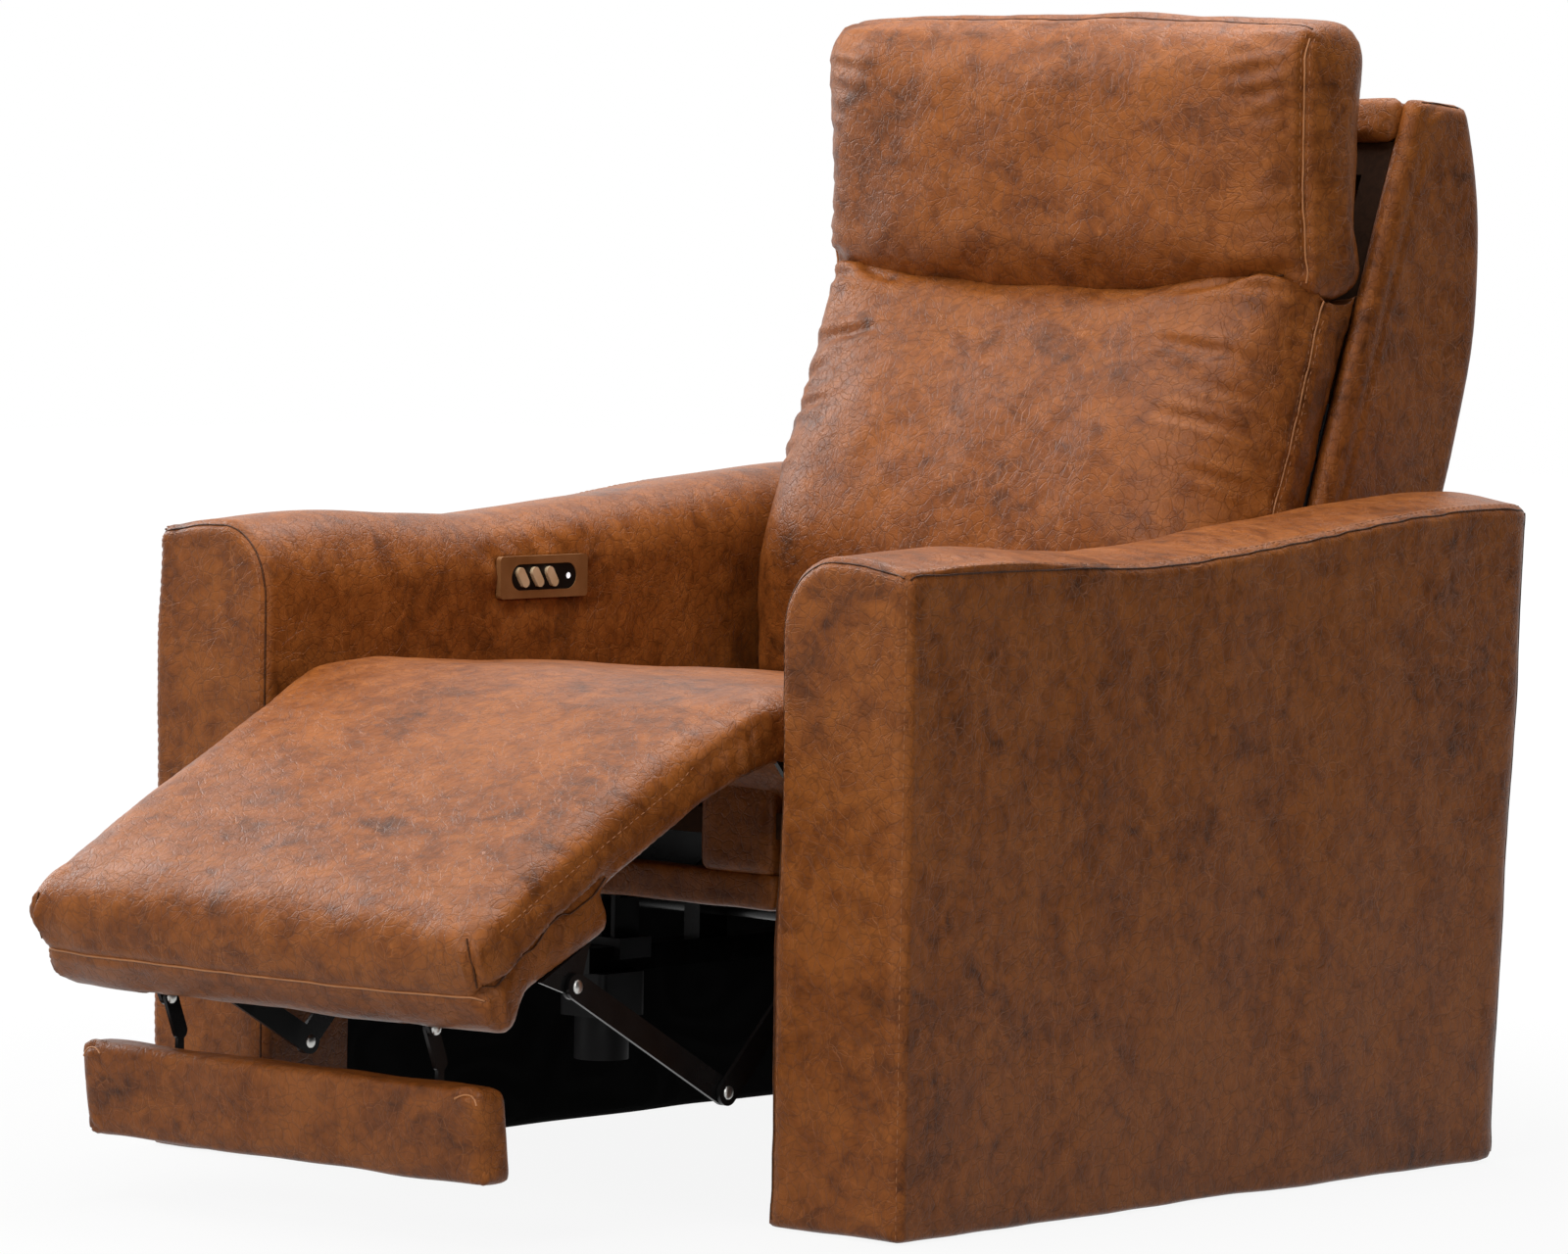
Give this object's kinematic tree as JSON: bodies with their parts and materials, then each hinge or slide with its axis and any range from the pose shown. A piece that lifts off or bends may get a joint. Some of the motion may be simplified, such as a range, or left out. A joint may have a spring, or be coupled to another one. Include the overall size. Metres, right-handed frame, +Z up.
{
  "type": "power recliner chair",
  "caption": "Leather power recliner with padded arms, one-piece seat and lifting footrest, reclining winged back, tilting headrest and an arm-side switch panel.",
  "frame": {"origin": "on the floor, in the middle of the chair's box in the half-open pose shown", "axes": "+Z up, the chair faces -Y, +X is the left side of a person sitting in it"},
  "size_m": [0.96, 1.4134, 1.1089],
  "materials": {
    "leather": "distressed aniline leather over foam, mottled brown, soft sheen",
    "timber": "sawn hardwood and plywood, unseen when covered",
    "black_steel": "black painted pressed steel, worn edges",
    "zinc_steel": "zinc plated steel",
    "webbing": "woven elastic strap",
    "black_plastic": "moulded nylon, fine grain",
    "bronze": "satin bronze lacquer",
    "gloss_black": "polished moulding",
    "champagne": "satin champagne metal skin",
    "white_light": "clear white lens"
  },
  "bodies": {
    "base": {"left_arm_frame": "timber", "right_arm_frame": "timber", "left_arm_front_panel": "leather", "right_arm_front_panel": "leather", "left_arm_inside_panel": "leather", "right_arm_inside_panel": "leather", "left_arm_outside_panel": "leather", "right_arm_outside_panel": "leather", "left_arm_top_pad": "leather", "right_arm_top_pad": "leather", "floor_glides": "black_plastic", "switch_bezel": "bronze", "switch_insert": "gloss_black", "status_light": "white_light", "frame_bolts": "zinc_steel", "seat_frame": "timber", "front_rail": "leather", "seat_webbing": "webbing", "rear_rail": "timber", "seat_cushion": "leather", "knee_rod": "zinc_steel", "knee_brackets": "black_steel", "footrest_track": "black_steel", "footrest_motor": "black_plastic", "side_plates": "black_steel", "cross_tubes": "black_steel", "drive_hangers": "black_steel", "back_track": "black_steel", "back_motor": "black_plastic", "power_inlet": "black_plastic"},
    "footrest": {"footrest_pad": "leather", "footrest_arms": "black_steel", "footrest_board": "leather", "footrest_brackets": "black_steel"},
    "flap": {"flap_panel": "leather", "flap_arms": "black_steel"},
    "lift_crank": {"torque_tube": "black_steel", "lift_cranks": "black_steel", "drive_crank": "black_steel"},
    "lift_link": {"lift_links": "black_steel"},
    "footrest_nut": {"footrest_nut": "black_plastic"},
    "back_nut": {"back_nut": "black_plastic"},
    "headrest_nut": {"headrest_nut": "black_plastic"},
    "back": {"back_pivot_tube": "black_steel", "back_frame": "timber", "back_brackets": "black_steel", "back_webbing": "webbing", "back_wings": "leather", "outside_back_panel": "leather", "back_cushion": "leather", "headrest_hinge_brackets": "black_steel", "headrest_track": "black_steel", "headrest_motor": "black_plastic"},
    "headrest": {"headrest_cushion": "leather", "headrest_board": "timber", "headrest_rod": "zinc_steel", "headrest_arms": "black_steel"},
    "rocker_1": {"rocker_1": "champagne"},
    "rocker_2": {"rocker_2": "champagne"},
    "rocker_3": {"rocker_3": "champagne"}
  },
  "joints": [
    {"name": "footrest_lift", "type": "hinge", "parent": "base", "child": "footrest", "pos_m": [0, -0.32108, 0.45], "axis": [-1, 0, 0], "range_deg": [-60, 27]},
    {"name": "lift_crank_turn", "type": "hinge", "parent": "base", "child": "lift_crank", "pos_m": [0, -0.12308, 0.34], "axis": [-1, 0, 0], "range_deg": [-60.5, 27.5]},
    {"name": "lift_link_turn", "type": "hinge", "parent": "footrest", "child": "lift_link", "pos_m": [0, -0.54525, 0.22916], "axis": [-1, 0, 0], "range_deg": [-27.5, 60.5]},
    {"name": "flap_fold", "type": "hinge", "parent": "footrest", "child": "flap", "pos_m": [0, -0.62859, 0.19006], "axis": [-1, 0, 0], "range_deg": [-112.5, 50.8]},
    {"name": "footrest_nut_slide", "type": "slide", "parent": "base", "child": "footrest_nut", "axis": [0, -1, 0], "range_m": [-0.0685, 0.031]},
    {"name": "back_recline", "type": "hinge", "parent": "base", "child": "back", "pos_m": [0, 0.34692, 0.4], "axis": [-1, 0, 0], "range_deg": [-9, 25]},
    {"name": "back_nut_slide", "type": "slide", "parent": "base", "child": "back_nut", "axis": [0, -1, 0], "range_m": [-0.0175, 0.048]},
    {"name": "headrest_tilt", "type": "hinge", "parent": "back", "child": "headrest", "pos_m": [0, 0.47492, 0.862], "axis": [1, 0, 0], "range_deg": [-14, 22]},
    {"name": "headrest_nut_slide", "type": "slide", "parent": "back", "child": "headrest_nut", "axis": [0, 0.342, 0.9397], "range_m": [-0.0245, 0.0385]},
    {"name": "rocker_1_press", "type": "hinge", "parent": "base", "child": "rocker_1", "pos_m": [-0.329, 0.00392, 0.549], "axis": [0, 0.8387, 0.5446], "range_deg": [-7, 7], "stiffness_Nm_per_rad": 0.15},
    {"name": "rocker_2_press", "type": "hinge", "parent": "base", "child": "rocker_2", "pos_m": [-0.329, 0.02492, 0.549], "axis": [0, 0.8387, 0.5446], "range_deg": [-7, 7], "stiffness_Nm_per_rad": 0.15},
    {"name": "rocker_3_press", "type": "hinge", "parent": "base", "child": "rocker_3", "pos_m": [-0.329, 0.04592, 0.549], "axis": [0, 0.8387, 0.5446], "range_deg": [-7, 7], "stiffness_Nm_per_rad": 0.15}
  ],
  "couplings": [
    {"joint": "lift_crank_turn", "follows": "footrest_lift", "ratio": 1},
    {"joint": "lift_link_turn", "follows": "footrest_lift", "ratio": -1},
    {"joint": "flap_fold", "follows": "footrest_lift", "ratio": 1.87},
    {"joint": "footrest_nut_slide", "follows": "footrest_lift", "m_per_rad": 0.065},
    {"joint": "back_nut_slide", "follows": "back_recline", "m_per_rad": 0.1088},
    {"joint": "headrest_nut_slide", "follows": "headrest_tilt", "m_per_rad": 0.098}
  ]
}
